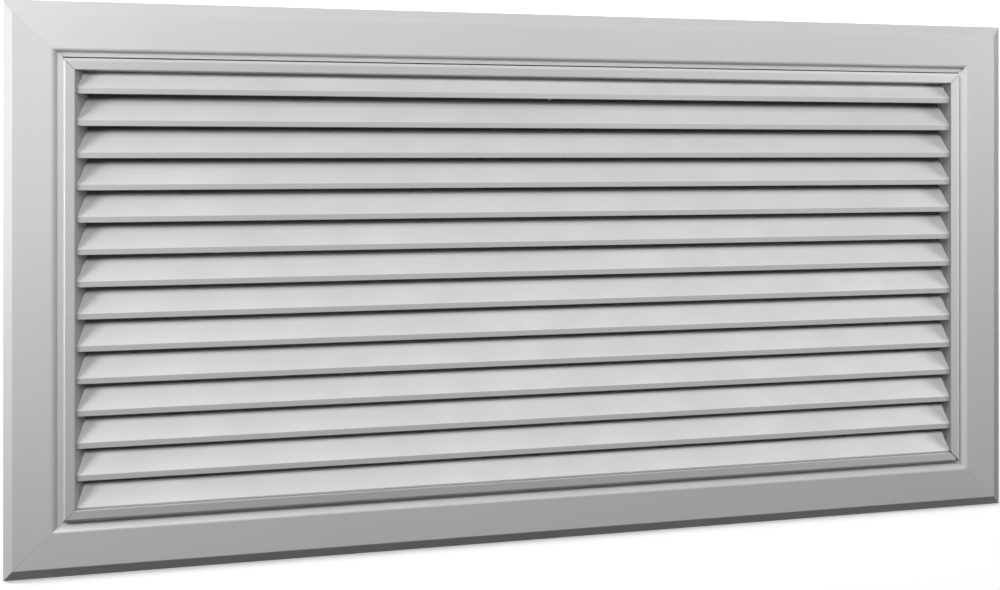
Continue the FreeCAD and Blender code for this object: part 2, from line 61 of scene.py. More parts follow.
# --- outer frame: four mitred lengths ----------------------------------------------------------------
# One hollow aluminium extrusion, satin anodised: an outer bevel, a flat face, a soft inner edge with a
# step down to a ledge, and a neck that goes into the opening. Two hooks behind the face hold the cleats.
# The neck is drilled for wall screws, stop rivets and hinge bushes, then sawn at 45 degrees.

frame_width = cad_high.x - cad_low.x
frame_height = cad_high.z - cad_low.z
frame_sheet = 0.0016
frame_face_y = -0.009
neck_w = 0.035
frame_skin = [
    (0.0, 0.0),
    (-0.0016, 0.0),
    (frame_face_y, -0.0084),
    (frame_face_y, -0.0312),
    (-0.006, -0.0323),
    (-0.0052, -neck_w),
    (0.032, -neck_w),
]
frame_corner_radii = [
    (-0.0016, 0.0, 0.0003),
    (frame_face_y, -0.0084, 0.0008),
    (frame_face_y, -0.0312, 0.0022),
]
cleat_channel = (-0.012, -0.0276)
hook_sheet = 0.0012
hook_root = -0.0002
hook_mouth = 0.0026
hook_tip = 0.0038
hook_turn = 0.0018
frame_mitre_gap = 0.000015
saw_burr = 0.00003
wall_screw_radius, wall_screw_y = 0.0023, 0.027
rail_screw_places, stile_screw_places = (-0.2, 0.2), (-0.09, 0.09)
stop_rivet_radius, stop_rivet_y = 0.00155, 0.01905
bush_radius, hinge_y, hinge_z = 0.002, -0.0024, -0.1272
stop_rivet_places = {
    "top_rail": (-0.225675, -0.075225, 0.075225, 0.225675),
    "left_stile": (-0.06998, 0.01245, 0.09488),
    "right_stile": (-0.06998, 0.01245, 0.09488),
    "bottom_rail": (),
}
QUARTER = math.pi / 2
SIDES = {"top_rail": 0, "right_stile": 1, "bottom_rail": 2, "left_stile": 3}


def swept(corners, half_length, sheet):
    """A folded sheet along X, whose front follows the section's (y, z) corners."""
    mesh = bmesh.new()
    line = [mesh.verts.new((-half_length, y, z)) for y, z in corners]
    edges = [mesh.edges.new(pair) for pair in zip(line, line[1:])]
    run = bmesh.ops.extrude_edge_only(mesh, edges=edges)["geom"]
    far_end = [item for item in run if isinstance(item, bmesh.types.BMVert)]
    bmesh.ops.translate(mesh, verts=far_end, vec=(2 * half_length, 0, 0))
    bmesh.ops.recalc_face_normals(mesh, faces=mesh.faces[:])
    front = min(mesh.faces, key=lambda face: face.calc_center_median().y)
    outwards = front.normal.y < 0
    bmesh.ops.solidify(mesh, geom=mesh.faces[:], thickness=sheet if outwards else -sheet)
    bmesh.ops.recalc_face_normals(mesh, faces=mesh.faces[:])
    return mesh


def bar(mesh, corners, start, end):
    """Adds a solid bar along X, from start to end, with the section's (y, z) corners to a mesh."""
    section = mesh.faces.new([mesh.verts.new((start, y, z)) for y, z in corners])
    run = bmesh.ops.extrude_face_region(mesh, geom=[section])["geom"]
    far_end = [item for item in run if isinstance(item, bmesh.types.BMVert)]
    bmesh.ops.translate(mesh, verts=far_end, vec=(end - start, 0, 0))
    bmesh.ops.recalc_face_normals(mesh, faces=mesh.faces[:])


def rounded(mesh, places, segments=5):
    """Rounds the edges along X that stand at the given (y, z, radius) places."""
    for y, z, radius in places:
        edges = [
            edge
            for edge in mesh.edges
            if all(abs(v.co.y - y) < 1e-6 and abs(v.co.z - z) < 1e-6 for v in edge.verts)
        ]
        turn = edges[0].calc_face_angle()
        bmesh.ops.bevel(
            mesh,
            geom=edges,
            offset=radius * math.tan(turn / 2),
            offset_type="OFFSET",
            segments=segments,
            profile=0.5,
            affect="EDGES",
            material=-1,
        )


def drill(mesh, radius, place, direction, length):
    """Adds a round drill to a mesh of drills, centred at a place and pointing along a direction."""
    turn = Vector(direction).to_track_quat("Z", "Y").to_matrix().to_4x4()
    bmesh.ops.create_cone(
        mesh,
        cap_ends=True,
        segments=32,
        radius1=radius,
        radius2=radius,
        depth=length,
        matrix=Matrix.Translation(place) @ turn,
    )


def drilled(mesh, drills):
    """The mesh with the drills' space taken out of it. Both meshes are used up."""
    solids = []
    for source, name in ((mesh, "blank"), (drills, "drills")):
        data = bpy.data.meshes.new(name)
        source.to_mesh(data)
        source.free()
        solid = bpy.data.objects.new(name, data)
        bpy.context.scene.collection.objects.link(solid)
        solids.append(solid)
    holes = solids[0].modifiers.new("holes", "BOOLEAN")
    holes.operation = "DIFFERENCE"
    holes.solver = "EXACT"
    holes.object = solids[1]
    result = bmesh.new()
    result.from_object(solids[0], bpy.context.evaluated_depsgraph_get())
    for solid in solids:
        bpy.data.meshes.remove(solid.data)
    return result


def sliced(mesh, point, normal):
    """Cuts away what lies beyond a plane and closes the cut. Gives the faces that close it."""
    cut = bmesh.ops.bisect_plane(
        mesh,
        geom=mesh.verts[:] + mesh.edges[:] + mesh.faces[:],
        dist=1e-7,
        plane_co=point,
        plane_no=normal,
        clear_outer=True,
    )["geom_cut"]
    rim = [item for item in cut if isinstance(item, bmesh.types.BMEdge)]
    return bmesh.ops.edgeloop_fill(mesh, edges=rim)["faces"]


def sawn(mesh, half_length, gaps):
    """Saws both ends of a top bar to 45 degrees and breaks the sharp edges of the cuts."""
    for sign, gap in zip((-1, 1), gaps):
        normal = Vector((sign, 0, -1)).normalized()
        ends = sliced(mesh, Vector((sign * half_length, 0, 0)) - normal * gap, normal)
        # The cut faces take the second finish, the near-black sawn ends: painted shade in the seams.
        for face in ends:
            face.material_index = 1
        bmesh.ops.bevel(
            mesh,
            geom=[edge for face in ends for edge in face.edges],
            offset=saw_burr,
            offset_type="OFFSET",
            segments=1,
            profile=0.5,
            affect="EDGES",
            material=-1,
        )


def to_side(mesh, side, width, height):
    """Turns a bar made along the top, with its outer edge at z = 0, to its side of a rectangle."""
    turn = Matrix.Rotation(SIDES[side] * QUARTER, 4, "Y")
    places = ((0, 0, height / 2), (width / 2, 0, 0), (0, 0, -height / 2), (-width / 2, 0, 0))
    bmesh.ops.transform(mesh, matrix=Matrix.Translation(places[SIDES[side]]) @ turn, verts=mesh.verts[:])


def finished(mesh, name, materials, body, slot, *stands_for):
    """Makes a mesh into a smooth-shaded piece that rides on its body and stands for its CAD nodes."""
    bmesh.ops.recalc_face_normals(mesh, faces=mesh.faces[:])
    data = bpy.data.meshes.new(name)
    mesh.to_mesh(data)
    mesh.free()
    data.polygons.foreach_set("use_smooth", [True] * len(data.polygons))
    data.set_sharp_from_angle(angle=math.radians(32))
    for material in materials:
        data.materials.append(material)
    piece = bpy.data.objects.new(name, data)
    bpy.context.scene.collection.objects.link(piece)
    normals = piece.modifiers.new("even_shading", "WEIGHTED_NORMAL")
    normals.keep_sharp = True
    normals.weight = 100
    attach(piece, body)
    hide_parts(*stands_for)
    return piece


def new_finish(name, metallic, roughness):
    """A named finish. Gives the material, its node tree, its shader and its object coordinates."""
    material = bpy.data.materials.new(name)
    material.use_nodes = True
    tree = material.node_tree
    shader = tree.nodes["Principled BSDF"]
    shader.inputs["Metallic"].default_value = metallic
    shader.inputs["Roughness"].default_value = roughness
    place = tree.nodes.new("ShaderNodeTexCoord").outputs["Object"]
    return material, tree, shader, place


def speckle(tree, place, scale, detail, stretch=(1, 1, 1)):
    """Noise over the metal, stretched along its grain where stretch says so."""
    mapping = tree.nodes.new("ShaderNodeMapping")
    mapping.inputs["Scale"].default_value = stretch
    texture = tree.nodes.new("ShaderNodeTexNoise")
    texture.inputs["Scale"].default_value = scale
    texture.inputs["Detail"].default_value = detail
    tree.links.new(place, mapping.inputs["Vector"])
    tree.links.new(mapping.outputs["Vector"], texture.inputs["Vector"])
    return texture.outputs["Fac"]


def between(tree, value, low, high):
    """Noise brought to the range from low to high."""
    span = tree.nodes.new("ShaderNodeMapRange")
    span.inputs["From Min"].default_value = 0.25
    span.inputs["From Max"].default_value = 0.75
    span.inputs["To Min"].default_value = low
    span.inputs["To Max"].default_value = high
    tree.links.new(value, span.inputs["Value"])
    return span.outputs["Result"]


def added(tree, first, second):
    """The sum of two values."""
    total = tree.nodes.new("ShaderNodeMath")
    total.operation = "ADD"
    tree.links.new(first, total.inputs[0])
    tree.links.new(second, total.inputs[1])
    return total.outputs["Value"]


def toned(tree, shader, shade, dark, light):
    """Colours a shader from dark to light by a shade from 0 to 1."""
    tint = tree.nodes.new("ShaderNodeMix")
    tint.data_type = "RGBA"
    tint.inputs["A"].default_value = (*dark, 1)
    tint.inputs["B"].default_value = (*light, 1)
    tree.links.new(shade, tint.inputs["Factor"])
    tree.links.new(tint.outputs["Result"], shader.inputs["Base Color"])


def raised(tree, shader, height, strength, depth):
    """Gives a shader relief of a depth in metres."""
    relief = tree.nodes.new("ShaderNodeBump")
    relief.inputs["Strength"].default_value = strength
    relief.inputs["Distance"].default_value = depth
    tree.links.new(height, relief.inputs["Height"])
    tree.links.new(relief.outputs["Normal"], shader.inputs["Normal"])


def satin_anodised(name, grain, grey, roughness):
    """Satin anodised aluminium with faint die lines along its grain, soft clouds and a fine etch."""
    material, tree, shader, place = new_finish(name, 0.02, roughness)
    shader.inputs["Specular IOR Level"].default_value = 0.2
    along = (0.012, 1, 1) if grain == "X" else (1, 1, 0.012)
    die_lines = speckle(tree, place, 620, 4, along)
    clouds = speckle(tree, place, 9, 3)
    smudges = speckle(tree, place, 46, 5)
    etch = speckle(tree, place, 5200, 2)
    shade = added(tree, between(tree, die_lines, 0.12, 0.38), between(tree, clouds, 0.05, 0.45))
    spread = 0.035
    toned(tree, shader, shade, [(1 - spread) * c for c in grey], [(1 + spread) * c for c in grey])
    gloss = added(
        tree,
        between(tree, smudges, roughness - 0.05, roughness + 0.05),
        between(tree, die_lines, -0.02, 0.02),
    )
    tree.links.new(gloss, shader.inputs["Roughness"])
    raised(tree, shader, added(tree, between(tree, etch, 0, 0.5), die_lines), 0.3, 0.00002)
    return material


def bare_metal(name, dark, light, roughness, grain_scale, stretch=(1, 1, 1)):
    """Unpainted metal with a mottled tone, uneven gloss and a fine relief."""
    material, tree, shader, place = new_finish(name, 0.85, roughness)
    grain = speckle(tree, place, grain_scale, 5, stretch)
    blotches = speckle(tree, place, 90, 3)
    toned(
        tree,
        shader,
        added(tree, between(tree, grain, 0.1, 0.5), between(tree, blotches, 0, 0.4)),
        dark,
        light,
    )
    gloss = between(tree, blotches, roughness - 0.08, roughness + 0.08)
    tree.links.new(gloss, shader.inputs["Roughness"])
    raised(tree, shader, grain, 0.35, 0.00003)
    return material


frame_grey = (0.56, 0.56, 0.56)
frame_rail_satin = satin_anodised("frame_rail_satin", "X", frame_grey, 0.42)
frame_stile_satin = satin_anodised("frame_stile_satin", "Z", frame_grey, 0.42)
# The sawn ends are coloured near black so that the mitre seams read dark: painted shade.
sawn_metal_painted_shade = bare_metal("sawn_metal_painted_shade", (0.1, 0.1, 0.1), (0.16, 0.16, 0.16), 0.6, 1400, (1, 0.06, 1))

for side in SIDES:
    rail = side.endswith("rail")
    half = (frame_width if rail else frame_height) / 2
    mesh = swept(frame_skin, half, frame_sheet)
    rounded(mesh, frame_corner_radii)
    forward = 1 if side in ("top_rail", "left_stile") else -1
    screw_places = rail_screw_places if rail else stile_screw_places
    holes = [(wall_screw_radius, wall_screw_y, place) for place in screw_places]
    holes += [(stop_rivet_radius, stop_rivet_y, place) for place in stop_rivet_places[side]]
    if not rail:
        holes.append((bush_radius, hinge_y, hinge_z))
    drills = bmesh.new()
    for radius, y, place in holes:
        drill(drills, radius, (forward * place, y, -neck_w + frame_sheet / 2), (0, 0, 1), 3 * frame_sheet)
    mesh = drilled(mesh, drills)
    back_y = frame_face_y + frame_sheet
    for z, towards in zip(cleat_channel, (-1, 1)):
        hook = [
            (back_y + hook_root, z),
            (back_y + hook_mouth, z),
            (back_y + hook_mouth, z + towards * hook_turn),
            (back_y + hook_tip, z + towards * hook_turn),
            (back_y + hook_tip, z - towards * hook_sheet),
            (back_y + hook_root, z - towards * hook_sheet),
        ]
        bar(mesh, hook, -half, half)
    sawn(mesh, half, (frame_mitre_gap, frame_mitre_gap))
    to_side(mesh, side, frame_width, frame_height)
    satin = frame_rail_satin if rail else frame_stile_satin
    finished(mesh, "frame_" + side + "_skin", (satin, sawn_metal_painted_shade), "frame", "frame_satin", "frame_" + side)


# --- corner cleats and set screws --------------------------------------------------------------------
# Flat L-shaped cleats punched from aluminium plate, in the channels behind the face. Two zinc-plated
# set screws with hexagon sockets bite on each arm and hold the mitre shut.

mill_aluminium = bare_metal("mill_aluminium", (0.44, 0.44, 0.45), (0.58, 0.58, 0.59), 0.42, 900, (0.05, 1, 1))
zinc_plate = bare_metal("zinc_plate", (0.50, 0.52, 0.55), (0.68, 0.70, 0.72), 0.32, 2600)


def eased(node, name, material, body, slot, radius, segments=2):
    """A CAD node's shape as clean faces, with its sharp edges broken."""
    mesh = bmesh.new()
    mesh.from_mesh(nodes[node].data)
    bmesh.ops.remove_doubles(mesh, verts=mesh.verts[:], dist=1e-6)
    bmesh.ops.dissolve_limit(mesh, angle_limit=math.radians(0.5), verts=mesh.verts[:], edges=mesh.edges[:])
    sharp = [edge for edge in mesh.edges if edge.is_manifold and edge.calc_face_angle() > math.radians(30)]
    bmesh.ops.bevel(
        mesh,
        geom=sharp,
        offset=radius,
        offset_type="OFFSET",
        segments=segments,
        profile=0.5,
        affect="EDGES",
        clamp_overlap=True,
        material=-1,
    )
    return finished(mesh, name, (material,), body, slot, node)


def refinished(node, material):
    """Gives a CAD node that keeps its shape a better finish."""
    for place in nodes[node].material_slots:
        place.material = material


CORNERS = ("top_left", "top_right", "bottom_right", "bottom_left")
punched_edge = 0.00015
for corner in CORNERS:
    name = f"cleat_{corner}_plate"
    eased(f"frame_cleat_{corner}", name, mill_aluminium, "frame", "mill_aluminium", punched_edge)
refinished("frame_cleat_screws", zinc_plate)


# --- wall gaskets ------------------------------------------------------------------------------------
# Strips of closed-cell foam, stuck into the hollow behind the bevel, that seal the frame on the wall.
# The cut edges are soft and a little uneven, and the cells show as fine pits.


def cellular_foam(name, dark, light):
    """Closed-cell foam: matt, with pits where cells are cut open."""
    material, tree, shader, place = new_finish(name, 0, 0.9)
    cells = tree.nodes.new("ShaderNodeTexVoronoi")
    cells.inputs["Scale"].default_value = 1900
    tree.links.new(place, cells.inputs["Vector"])
    clouds = speckle(tree, place, 160, 4)
    shade = added(tree, between(tree, clouds, 0.1, 0.5), between(tree, cells.outputs["Distance"], 0, 0.4))
    toned(tree, shader, shade, dark, light)
    raised(tree, shader, cells.outputs["Distance"], 0.7, 0.00025)
    return material


gasket_foam = cellular_foam("gasket_foam", (0.035, 0.036, 0.038), (0.085, 0.086, 0.09))
for side in ("top", "right", "bottom", "left"):
    eased(f"wall_gasket_{side}", f"gasket_{side}_strip", gasket_foam, "frame", "foam", 0.0007, 3)


# --- stop angles and seals ---------------------------------------------------------------------------
# Three lengths of mill aluminium angle, riveted inside the neck, that the closed core rests against.
# A soft foam bead on each keeps the core from rattling.

seal_foam = cellular_foam("seal_foam", (0.045, 0.046, 0.048), (0.10, 0.10, 0.105))
for side in ("top", "left", "right"):
    eased(f"stop_angle_{side}", f"stop_{side}_angle", mill_aluminium, "frame", "mill_aluminium", 0.0002)
    eased(f"stop_seal_{side}", f"seal_{side}_bead", seal_foam, "frame", "foam", 0.0009, 4)
refinished("stop_angle_rivets", mill_aluminium)


# --- hinge bushes ------------------------------------------------------------------------------------
# Flanged bushes of natural nylon, pressed into the neck near the bottom of each stile.


def moulded(name, dark, light, roughness):
    """Moulded plastic with a light spark-eroded texture."""
    material, tree, shader, place = new_finish(name, 0, roughness)
    grain = speckle(tree, place, 3200, 3)
    clouds = speckle(tree, place, 120, 2)
    toned(tree, shader, between(tree, clouds, 0.1, 0.9), dark, light)
    gloss = between(tree, grain, roughness - 0.06, roughness + 0.06)
    tree.links.new(gloss, shader.inputs["Roughness"])
    raised(tree, shader, grain, 0.4, 0.00002)
    return material


natural_nylon = moulded("natural_nylon", (0.68, 0.66, 0.60), (0.78, 0.76, 0.70), 0.42)
for side in ("left", "right"):
    refinished(f"hinge_bush_{side}", natural_nylon)


# --- magnetic catches --------------------------------------------------------------------------------
# A white plastic housing screwed to the top stop angle holds a ferrite block. A zinc-plated steel
# keeper, riveted to the core's top rail, sticks to it.

catch_plastic = moulded("catch_plastic", (0.66, 0.66, 0.65), (0.76, 0.76, 0.75), 0.5)
ferrite_black = bare_metal("ferrite_black", (0.035, 0.035, 0.037), (0.07, 0.07, 0.072), 0.55, 2200)
ferrite_black.node_tree.nodes["Principled BSDF"].inputs["Metallic"].default_value = 0.25
for side in ("left", "right"):
    name = f"housing_{side}_shell"
    eased(f"catch_housing_{side}", name, catch_plastic, "frame", "catch_plastic", 0.00025, 3)
    eased(f"catch_magnet_{side}", f"magnet_{side}_block", ferrite_black, "frame", "ferrite", 0.0001)
    eased(f"catch_keeper_{side}", f"keeper_{side}_plate", zinc_plate, "core", "zinc_steel", 0.00012)
refinished("catch_screws", zinc_plate)
refinished("catch_keeper_rivets", mill_aluminium)


# --- core frame: four mitred lengths -----------------------------------------------------------------
# A narrower extrusion, open towards the outer frame, that carries the blades and swings out on two pins.
# Its stiles are slotted for the blade tenons and bored for the pins. Its bottom right mitre stands a
# little open, as a joint does that wasn't pulled up tight. The webs that face the blades get a darker
# copy of the satin finish: painted shade.

core_low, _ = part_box("core_left_stile")
core_width = -2 * core_low.x
_, core_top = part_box("core_top_rail")
core_height = 2 * core_top.z
core_front_y = core_low.y
core_back_y = core_top.y
core_sheet = 0.0014
core_face = 0.0072
core_bevel = 0.0018
core_skin = [
    (core_front_y + 0.0103, 0.0),
    (core_front_y + core_bevel, 0.0),
    (core_front_y, -core_bevel),
    (core_front_y, -core_face),
    (core_back_y, -core_face),
    (core_back_y, -0.0004),
]
core_corner_radii = [(core_front_y, -core_bevel, 0.00045), (core_front_y, -core_face, 0.00045)]
core_mitre_gap = 0.0001
open_mitre_gap = 0.0005
pin_radius = 0.00155
core_rail_satin = satin_anodised("core_rail_satin", "X", frame_grey, 0.40)
core_stile_satin = satin_anodised("core_stile_satin", "Z", frame_grey, 0.40)
# The webs that face the blades: the same satin in a darker grey, painted shade where the blades shade them.
painted_shade_web_grey = (0.3, 0.3, 0.3)
core_web_painted_shade = satin_anodised("core_web_painted_shade", "Z", painted_shade_web_grey, 0.45)

blade_count = 14
measured_blade = 5
blade_low, blade_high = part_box(f"blade_{measured_blade:02d}")
blade_sheet = 0.0012
blade_lip = 0.0038
rear_lip = 0.003
blade_pitch = 0.02
blade_angle = math.radians(42)
blade_rear_y = blade_high.y - blade_sheet
blade_play = 0.0001
tenon_near, tenon_far = 0.010, 0.018
tenon_end_inset = 0.005


def blade_bottom(number):
    """The height of a blade's lowest edge, before the rails cut it."""
    return blade_low.z - blade_pitch * (number - measured_blade)


def tenon(number, fit):
    """The (y, z) corners of the tongue of a blade's slope that goes through the stiles."""
    start = Vector((blade_low.y, blade_bottom(number) + blade_lip))
    along = Vector((math.cos(blade_angle), math.sin(blade_angle)))
    under = Vector((math.sin(blade_angle), -math.cos(blade_angle)))
    near, far = tenon_near - fit, tenon_far + fit
    return [
        start + along * reach + under * depth
        for reach, depth in ((near, -fit), (far, -fit), (far, blade_sheet + fit), (near, blade_sheet + fit))
    ]


for side in SIDES:
    rail = side.endswith("rail")
    half = (core_width if rail else core_height) / 2
    mesh = swept(core_skin, half, core_sheet)
    rounded(mesh, core_corner_radii, segments=4)
    if not rail:
        forward = 1 if side == "left_stile" else -1
        drills = bmesh.new()
        web_z = -core_face + core_sheet / 2
        drill(drills, pin_radius, (forward * hinge_z, hinge_y, web_z), (0, 0, 1), 3 * core_sheet)
        for number in range(1, blade_count + 1):
            slot_corners = [(forward * z, y) for y, z in tenon(number, blade_play)]
            low_ring = [drills.verts.new((x, y, web_z - 2 * core_sheet)) for x, y in slot_corners]
            slot_end = drills.faces.new(low_ring)
            run = bmesh.ops.extrude_face_region(drills, geom=[slot_end])["geom"]
            far_end = [item for item in run if isinstance(item, bmesh.types.BMVert)]
            bmesh.ops.translate(drills, verts=far_end, vec=(0, 0, 4 * core_sheet))
        bmesh.ops.recalc_face_normals(drills, faces=drills.faces[:])
        mesh = drilled(mesh, drills)
    first = open_mitre_gap if side == "bottom_rail" else core_mitre_gap
    last = open_mitre_gap if side == "right_stile" else core_mitre_gap
    sawn(mesh, half, (first, last))
    mesh.normal_update()
    # The inward webs take the third finish, the darker copy of the satin: painted shade.
    for face in mesh.faces:
        level = abs(face.normal.z) > 0.9
        if level and abs(face.calc_center_median().z + core_face) < 0.0002:
            face.material_index = 2
    to_side(mesh, side, core_width, core_height)
    satin = core_rail_satin if rail else core_stile_satin
    finishes = (satin, sawn_metal_painted_shade, core_web_painted_shade)
    finished(mesh, "core_" + side + "_skin", finishes, "core", "core_satin", "core_" + side)


# --- core corner keys and hinge pins -----------------------------------------------------------------
# Flat aluminium keys glued into the corners of the core frame, and two turned steel pins whose collars
# sit against the stiles.

turned_steel = bare_metal("turned_steel", (0.20, 0.20, 0.205), (0.30, 0.30, 0.305), 0.45, 2600)
for corner in CORNERS:
    name = f"key_{corner}_plate"
    eased(f"core_key_{corner}", name, mill_aluminium, "core", "mill_aluminium", punched_edge)
for side in ("left", "right"):
    refinished(f"hinge_pin_{side}", turned_steel)


# --- blades ------------------------------------------------------------------------------------------
# Fourteen blades of folded sheet, satin anodised: a front lip, a slope that rises to the back at
# 42 degrees and a short rear lip. Their end tenons are staked in slots in the stiles. The sheet is a
# darker grey than the frame, and the up-facing slopes are painted pale: painted shade on the lips and
# painted light on the slopes. The undersides and the part towards the duct are painted dark: painted shade.


def painted_along(material, colour, source, axis, first, full, least, most):
    """Lays a patchy colour of painted light or painted shade on a finish, from none to full along an axis of
    its normals or its places.
    """
    tree = material.node_tree
    shader = tree.nodes["Principled BSDF"]
    coordinates = tree.nodes.new("ShaderNodeTexCoord")
    split = tree.nodes.new("ShaderNodeSeparateXYZ")
    tree.links.new(coordinates.outputs[source], split.inputs["Vector"])
    cover = tree.nodes.new("ShaderNodeMapRange")
    cover.inputs["From Min"].default_value = first
    cover.inputs["From Max"].default_value = full
    tree.links.new(split.outputs[axis], cover.inputs["Value"])
    amount = tree.nodes.new("ShaderNodeMath")
    amount.operation = "MULTIPLY"
    tree.links.new(cover.outputs["Result"], amount.inputs[0])
    patches = between(tree, speckle(tree, coordinates.outputs["Object"], 24, 4), least, most)
    tree.links.new(patches, amount.inputs[1])
    mix = tree.nodes.new("ShaderNodeMix")
    mix.data_type = "RGBA"
    tree.links.new(amount.outputs["Value"], mix.inputs["Factor"])
    tree.links.new(shader.inputs["Base Color"].links[0].from_socket, mix.inputs["A"])
    mix.inputs["B"].default_value = (*colour, 1)
    tree.links.new(mix.outputs["Result"], shader.inputs["Base Color"])


# The blade sheet's grey is set darker than the frame's so that the lips read shaded: painted shade.
blade_shaded_grey = (0.41, 0.41, 0.41)
painted_light_on_tops = (0.8, 0.8, 0.795)
painted_shade_underneath = (0.1, 0.1, 0.1)
painted_shade_towards_duct = (0.12, 0.12, 0.12)
blade_satin = satin_anodised("blade_satin", "X", blade_shaded_grey, 0.42)
# Up-facing slopes painted pale: painted light.
painted_along(blade_satin, painted_light_on_tops, "Normal", "Z", 0.15, 0.6, 0.65, 0.85)
# Down-facing undersides painted dark: painted shade.
painted_along(blade_satin, painted_shade_underneath, "Normal", "Z", -0.15, -0.6, 0.65, 0.9)
# Darker towards the duct, deep under each lip: painted shade.
painted_along(blade_satin, painted_shade_towards_duct, "Object", "Y", 0.003, 0.011, 0.6, 0.8)
louvres = []
for number in range(1, blade_count + 1):
    low = blade_bottom(number)
    top = low + (blade_high.z - blade_low.z)
    section = [
        (blade_low.y, low),
        (blade_low.y, low + blade_lip),
        (blade_rear_y, top - rear_lip),
        (blade_rear_y, top),
    ]
    half = core_width / 2 - core_face - blade_play
    mesh = swept(section, half, blade_sheet)
    rounded(mesh, [(blade_low.y, low, 0.0003), (blade_low.y, low + blade_lip, 0.0009)])
    for sign in (-1, 1):
        bar(mesh, tenon(number, 0), sign * half, sign * (core_width / 2 - tenon_end_inset))
    room = core_height / 2 - core_face - blade_play
    if top > room:
        sliced(mesh, (0, 0, room), (0, 0, 1))
    if low < -room:
        sliced(mesh, (0, 0, -room), (0, 0, -1))
    name = f"blade_{number:02d}"
    louvres.append(finished(mesh, name + "_sheet", (blade_satin,), "core", "blade_satin", name))


# --- support bar -------------------------------------------------------------------------------------
# An upright flat bar behind the blades, riveted to each rear lip and to both rails of the core.

eased("blade_support_bar", "support_bar_flat", mill_aluminium, "core", "mill_aluminium", punched_edge)
refinished("support_bar_rivets", mill_aluminium)


# --- stage -------------------------------------------------------------------------------------------
# A plain white wall with an opening for the neck, a pale floor, soft studio lamps and the camera. Seen
# from behind, the wall lets light and sight through, so that the back of the grille can be looked at.
# Each set of lamps lights its own pieces only, so that every bevel, ledge and slope reads clearly.

opening_inset = 0.0315
wall_setback = 0.0002
floor_z = -1.4
stage_reach = 4
paint_white = (0.9, 0.9, 0.9, 1)
bounce_grey = (0.18, 0.18, 0.18, 1)


def stage_piece(mesh, name, material):
    """Makes a mesh into a piece of the stage."""
    data = bpy.data.meshes.new(name)
    mesh.to_mesh(data)
    mesh.free()
    data.materials.append(material)
    piece = bpy.data.objects.new(name, data)
    bpy.context.scene.collection.objects.link(piece)


def shown(tree):
    """Whether a ray shows the stage: 1 for what the camera sees, straight or in metal or glass."""
    rays = tree.nodes.new("ShaderNodeLightPath")
    seen = rays.outputs["Is Camera Ray"]
    for kind in ("Is Glossy Ray", "Is Transmission Ray"):
        either = tree.nodes.new("ShaderNodeMath")
        either.operation = "MAXIMUM"
        tree.links.new(seen, either.inputs[0])
        tree.links.new(rays.outputs[kind], either.inputs[1])
        seen = either.outputs["Value"]
    return seen


def either_shader(tree, choice, first, second):
    """One of two shaders: the first where choice is 0, the second where it is 1."""
    mix = tree.nodes.new("ShaderNodeMixShader")
    tree.links.new(choice, mix.inputs["Fac"])
    tree.links.new(first, mix.inputs[1])
    tree.links.new(second, mix.inputs[2])
    return mix.outputs["Shader"]


def white_backdrop(name, glow, see_through):
    """Paint that shows as plain white and keeps the object's shadow. Its back can be see-through."""
    material, tree, shader, _ = new_finish(name, 0, 1)
    shader.inputs["Base Color"].default_value = paint_white
    shader.inputs["Specular IOR Level"].default_value = 0
    shader.inputs["Emission Color"].default_value = (1, 1, 1, 1)
    shader.inputs["Emission Strength"].default_value = glow
    plain = tree.nodes.new("ShaderNodeBsdfDiffuse")
    plain.inputs["Color"].default_value = bounce_grey
    surface = either_shader(tree, shown(tree), plain.outputs["BSDF"], shader.outputs["BSDF"])
    if see_through:
        clear = tree.nodes.new("ShaderNodeBsdfTransparent").outputs["BSDF"]
        back = tree.nodes.new("ShaderNodeNewGeometry").outputs["Backfacing"]
        surface = either_shader(tree, back, surface, clear)
    tree.links.new(surface, tree.nodes["Material Output"].inputs["Surface"])
    return material


wall = bmesh.new()
bmesh.ops.create_grid(wall, x_segments=1, y_segments=1, size=stage_reach)
bmesh.ops.rotate(wall, verts=wall.verts[:], matrix=Matrix.Rotation(QUARTER, 3, "X"))
bmesh.ops.translate(wall, verts=wall.verts[:], vec=(0, wall_setback, 0))
for normal, span in (((1, 0, 0), frame_width), ((0, 0, 1), frame_height)):
    reach = span / 2 - opening_inset
    for sign in (-1, 1):
        bmesh.ops.bisect_plane(
            wall,
            geom=wall.verts[:] + wall.edges[:] + wall.faces[:],
            plane_co=Vector(normal) * reach * sign,
            plane_no=normal,
        )
middle = min(wall.faces, key=lambda face: face.calc_center_median().length)
bmesh.ops.delete(wall, geom=[middle], context="FACES")
stage_piece(wall, "wall", white_backdrop("wall_paint", 0.53, True))

floor = bmesh.new()
bmesh.ops.create_grid(floor, x_segments=1, y_segments=1, size=stage_reach)
bmesh.ops.translate(floor, verts=floor.verts[:], vec=(0, 0, floor_z))
stage_piece(floor, "floor", white_backdrop("floor_paint", 0.5, False))

world = bpy.data.worlds.new("studio")
bpy.context.scene.world = world
world.use_nodes = True
world_tree = world.node_tree
background = world_tree.nodes["Background"]
background.inputs["Color"].default_value = (1, 1, 1, 1)
level = world_tree.nodes.new("ShaderNodeMapRange")
level.inputs["To Min"].default_value = 0.005
level.inputs["To Max"].default_value = 0.85
world_tree.links.new(shown(world_tree), level.inputs["Value"])
world_tree.links.new(level.outputs["Result"], background.inputs["Strength"])


def lit_only(name, pieces, link_state):
    """A set of pieces that a lamp leaves out, or the only ones that it lights."""
    group = bpy.data.collections.new(name)
    for piece in pieces:
        group.objects.link(piece)
    for entry in group.collection_objects:
        entry.light_linking.link_state = link_state
    return group


